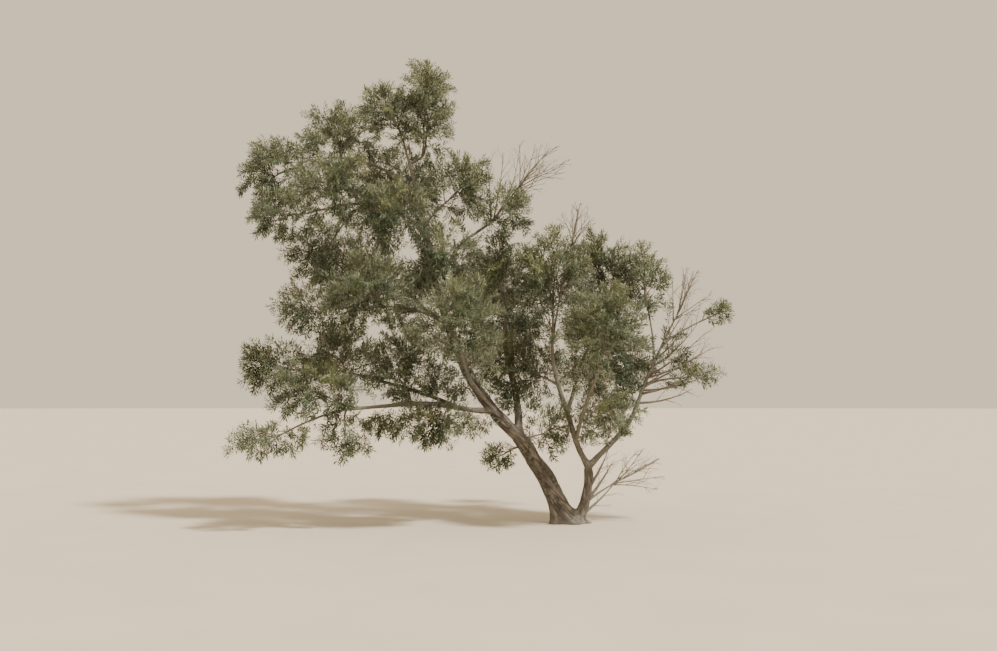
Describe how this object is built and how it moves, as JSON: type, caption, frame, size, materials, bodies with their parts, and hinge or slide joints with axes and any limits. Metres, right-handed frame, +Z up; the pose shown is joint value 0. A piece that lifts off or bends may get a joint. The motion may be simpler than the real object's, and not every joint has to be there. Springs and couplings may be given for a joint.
{
  "type": "olive tree",
  "caption": "Leaning olive tree with a main trunk and a slimmer side stem from one root flare, tapering boughs, loose masses of narrow leaves and a few bare twigs.",
  "frame": {"origin": "middle of the flat cut at ground level under the trunk's root flare", "axes": "+Z up, +X towards the slimmer side stem and away from the lean, +Y towards the back"},
  "size_m": [6.8232, 4.1467, 6.4275],
  "materials": {
    "bark": "rough grey-brown bark, fissured on the trunk",
    "leaves": "grey-green leaves, silvery underneath, satin",
    "bare_twigs": "dry grey-brown twigs, matt"
  },
  "bodies": {
    "root": {"back_bough": "bark", "back_left_bough": "bark", "back_right_bough": "bark", "bare_twigs_low": "bare_twigs", "bare_twigs_middle": "bare_twigs", "bare_twigs_right": "bare_twigs", "bare_twigs_top": "bare_twigs", "foliage_back": "leaves", "foliage_centre": "leaves", "foliage_centre_right": "leaves", "foliage_far_left": "leaves", "foliage_fork": "leaves", "foliage_front": "leaves", "foliage_hanging": "leaves", "foliage_high_left": "leaves", "foliage_left": "leaves", "foliage_left_front": "leaves", "foliage_left_inner": "leaves", "foliage_left_tip": "leaves", "foliage_low_inner": "leaves", "foliage_low_left": "leaves", "foliage_mid_back": "leaves", "foliage_mid_left": "leaves", "foliage_middle": "leaves", "foliage_right_arm": "leaves", "foliage_right_back": "leaves", "foliage_right_end": "leaves", "foliage_right_front": "leaves", "foliage_right_inner": "leaves", "foliage_right_left": "leaves", "foliage_right_low": "leaves", "foliage_right_middle": "leaves", "foliage_right_tip": "leaves", "foliage_right_top": "leaves", "foliage_right_tuft": "leaves", "foliage_top": "leaves", "foliage_top_left": "leaves", "foliage_trunk_shoots": "leaves", "foliage_upper_back": "leaves", "foliage_upper_left": "leaves", "foliage_upper_left_front": "leaves", "foliage_upper_left_low": "leaves", "foliage_upper_middle": "leaves", "foliage_upper_right": "leaves", "front_bough": "bark", "front_right_bough": "bark", "high_left_bough": "bark", "left_bough": "bark", "low_left_bough": "bark", "mid_left_bough": "bark", "middle_fork": "bark", "middle_limb": "bark", "right_limb": "bark", "rising_limb": "bark", "second_stem": "bark", "top_bough": "bark", "trunk": "bark", "upper_left_bough": "bark", "upper_right_bough": "bark", "upright_limb": "bark"}
  },
  "joints": []
}
